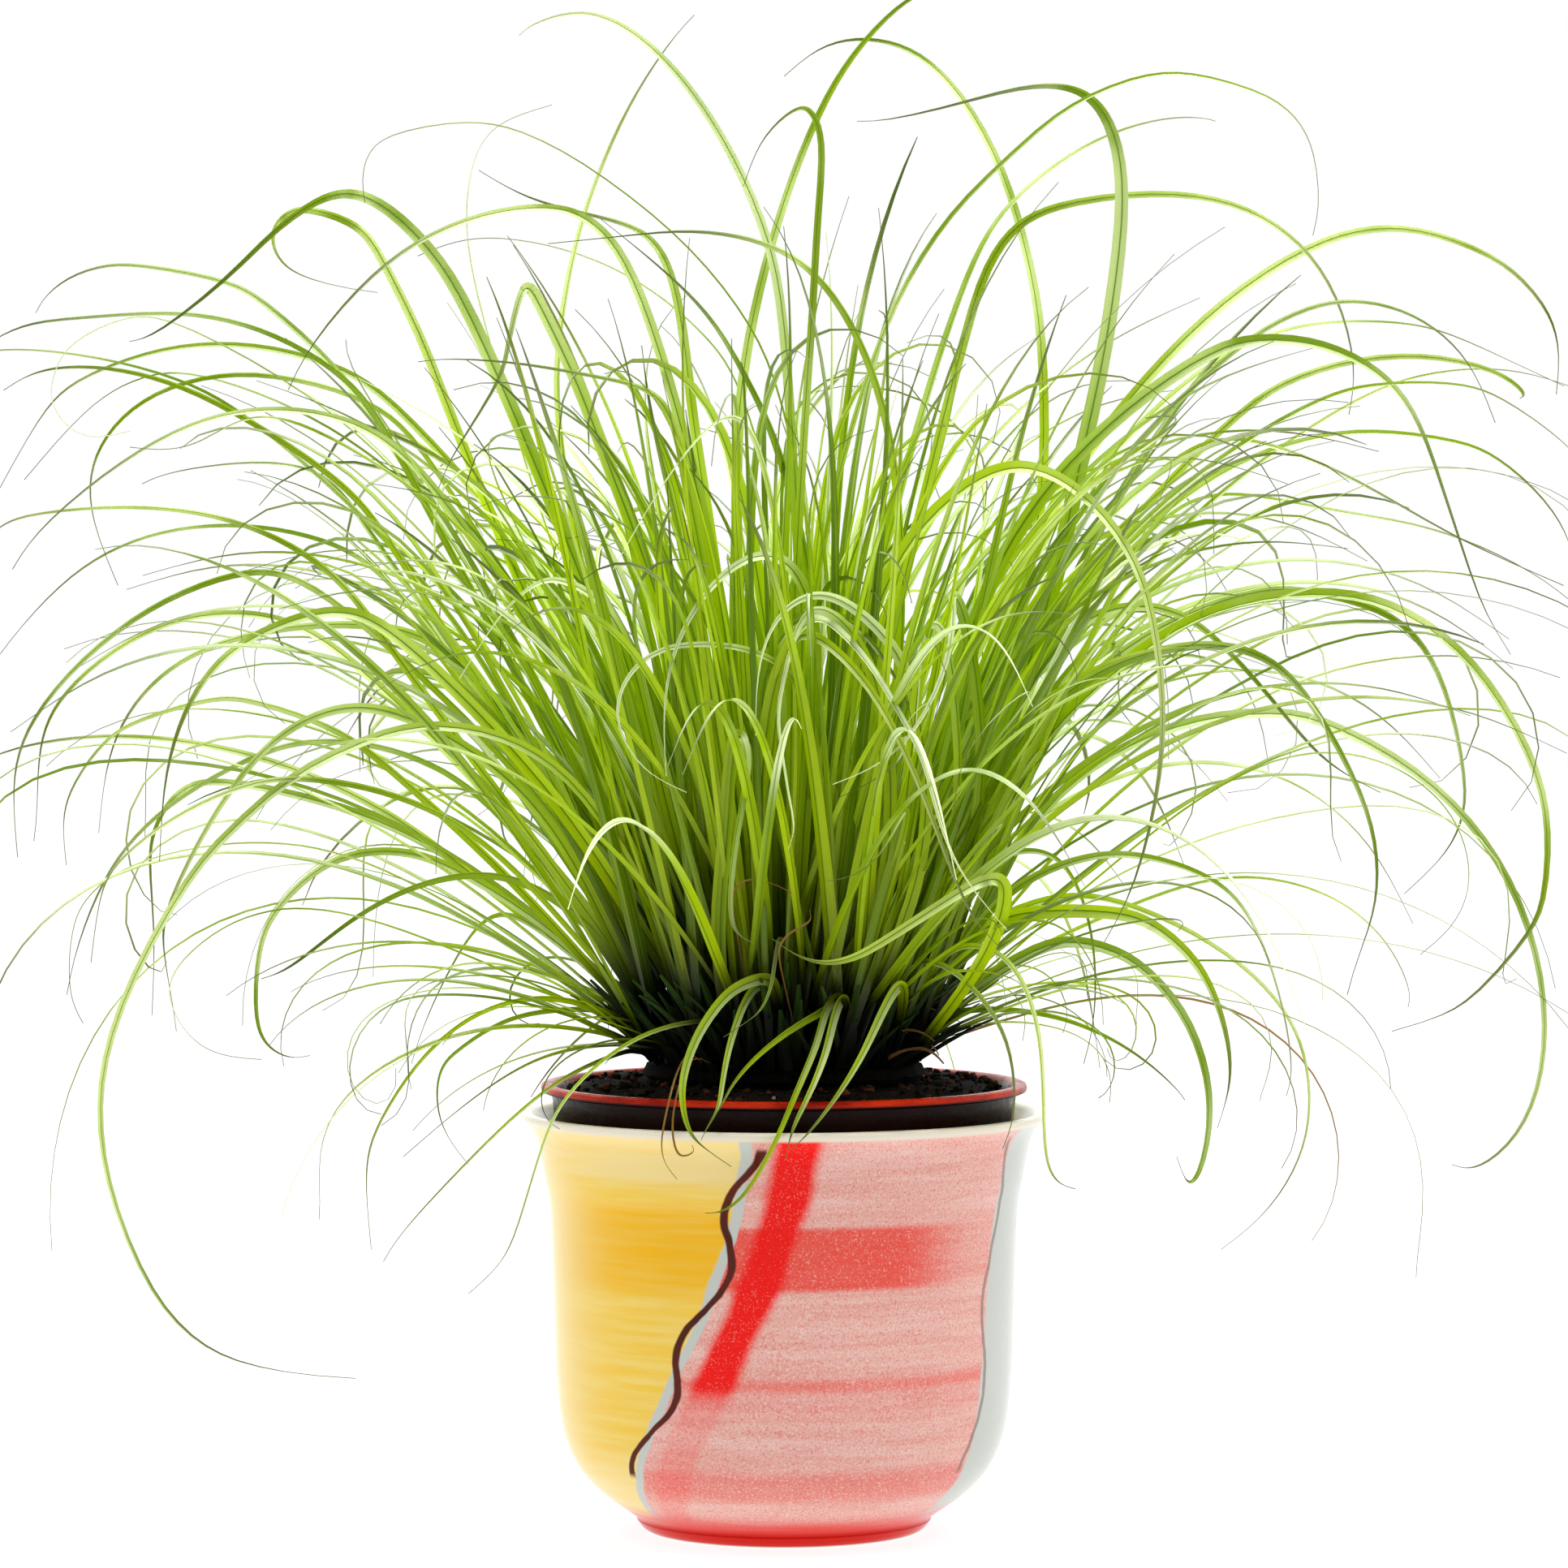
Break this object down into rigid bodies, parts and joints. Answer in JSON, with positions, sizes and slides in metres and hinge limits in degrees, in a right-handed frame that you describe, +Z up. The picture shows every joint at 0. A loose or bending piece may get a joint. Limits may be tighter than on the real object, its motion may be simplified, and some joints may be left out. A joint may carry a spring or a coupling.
{
  "type": "potted cat grass",
  "caption": "Tuft of long, fine, arching grass blades in a plastic nursery pot that stands in a flared glazed ceramic pot.",
  "frame": {"origin": "centre of the ceramic pot's flat foot", "axes": "+Z up along the pots' common axis; the side shown in the picture faces -Y, with +X to its right"},
  "size_m": [0.4109, 0.4268, 0.3823],
  "materials": {
    "glazed_ceramic": "gloss",
    "terracotta_plastic": "satin",
    "dark_peat": "matte",
    "dark_sheaths": "matte",
    "blade_green": "satin",
    "shoot_green": "satin"
  },
  "bodies": {
    "root": {"outer_pot": "glazed_ceramic", "nursery_pot": "terracotta_plastic", "soil": "dark_peat", "crown": "dark_sheaths", "long_leaf_01": "blade_green", "long_leaf_02": "blade_green", "long_leaf_03": "blade_green", "long_leaf_04": "blade_green", "long_leaf_05": "blade_green", "long_leaf_06": "blade_green", "long_leaf_07": "blade_green", "long_leaf_08": "blade_green", "long_leaf_09": "blade_green", "long_leaf_10": "blade_green", "long_leaf_11": "blade_green", "long_leaf_12": "blade_green", "long_leaf_13": "blade_green", "long_leaf_14": "blade_green", "long_leaf_15": "blade_green", "long_leaf_16": "blade_green", "long_leaf_17": "blade_green", "long_leaf_18": "blade_green", "long_leaf_19": "blade_green", "long_leaf_20": "blade_green", "long_leaf_21": "blade_green", "long_leaf_22": "blade_green", "long_leaf_23": "blade_green", "long_leaf_24": "blade_green", "long_leaf_25": "blade_green", "long_leaf_26": "blade_green", "long_leaf_27": "blade_green", "long_leaf_28": "blade_green", "long_leaf_29": "blade_green", "long_leaf_30": "blade_green", "long_leaf_31": "blade_green", "long_leaf_32": "blade_green", "long_leaf_33": "blade_green", "long_leaf_34": "blade_green", "long_leaf_35": "blade_green", "long_leaf_36": "blade_green", "shoot_01": "shoot_green", "shoot_02": "shoot_green", "shoot_03": "shoot_green", "shoot_04": "shoot_green", "shoot_05": "shoot_green", "shoot_06": "shoot_green", "shoot_07": "shoot_green", "shoot_08": "shoot_green", "shoot_09": "shoot_green", "shoot_10": "shoot_green", "shoot_11": "shoot_green", "shoot_12": "shoot_green", "shoot_13": "shoot_green", "shoot_14": "shoot_green", "shoot_15": "shoot_green", "shoot_16": "shoot_green", "shoot_17": "shoot_green", "shoot_18": "shoot_green", "shoot_19": "shoot_green", "shoot_20": "shoot_green"}
  },
  "joints": []
}
